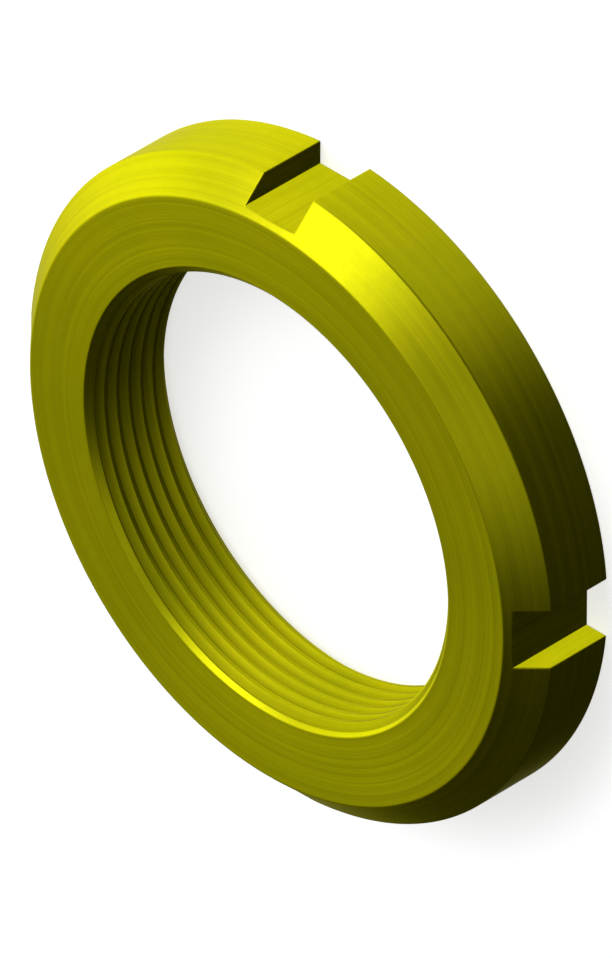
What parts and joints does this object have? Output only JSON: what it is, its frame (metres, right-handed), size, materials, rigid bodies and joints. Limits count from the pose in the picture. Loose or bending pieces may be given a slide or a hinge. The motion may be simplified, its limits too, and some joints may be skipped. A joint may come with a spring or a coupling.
{
  "type": "slotted round nut",
  "caption": "Flat round steel ring nut with a fine internal thread, a bevelled front rim and square slots across the rim for a hook spanner.",
  "frame": {"origin": "centre of the flat back face, on the axis of the thread; the nut lies on this face", "axes": "+Z along the thread's axis, from the back face up to the bevelled front face; +X and +Y each through the middle of a spanner slot"},
  "size_m": [0.0646, 0.0646, 0.01],
  "materials": {
    "nut_metal": "turned and milled steel with a strong yellow passivated zinc plating, satin"
  },
  "bodies": {
    "root": {"nut": "nut_metal"}
  },
  "joints": []
}
